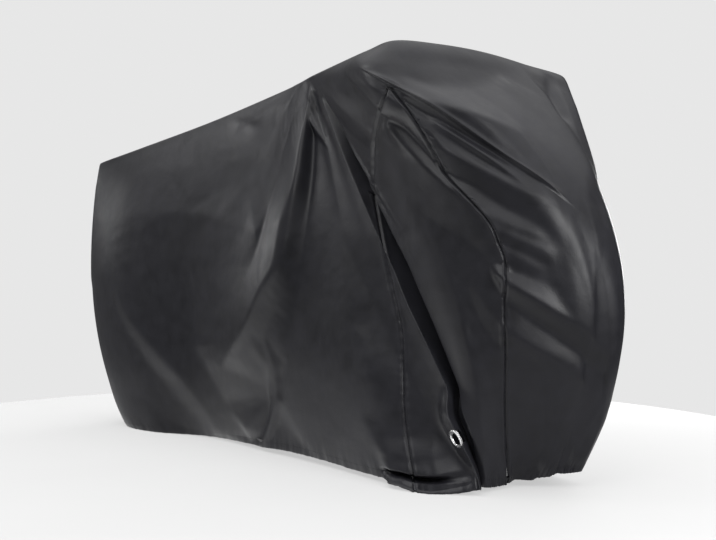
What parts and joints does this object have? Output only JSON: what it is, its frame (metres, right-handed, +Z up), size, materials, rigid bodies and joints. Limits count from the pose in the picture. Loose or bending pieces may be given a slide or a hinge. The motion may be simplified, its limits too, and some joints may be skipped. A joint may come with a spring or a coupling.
{
  "type": "bicycle cover",
  "caption": "Fitted cloth cover draped as over a bicycle, hollow and open below, with an elastic hem and a side gusset that holds a metal lock eyelet.",
  "frame": {"origin": "on the ground, in the middle of the cover's footprint box", "axes": "+X towards the bicycle's front wheel, +Z up, -Y the near side, which holds the gusset and the eyelet"},
  "size_m": [2.0648, 0.6209, 1.0992],
  "materials": {
    "coated_polyester": "satin coated weave",
    "bright_metal": "polished"
  },
  "bodies": {
    "root": {"cover_body": "coated_polyester", "side_gusset": "coated_polyester", "lock_eyelet": "bright_metal"}
  },
  "joints": []
}
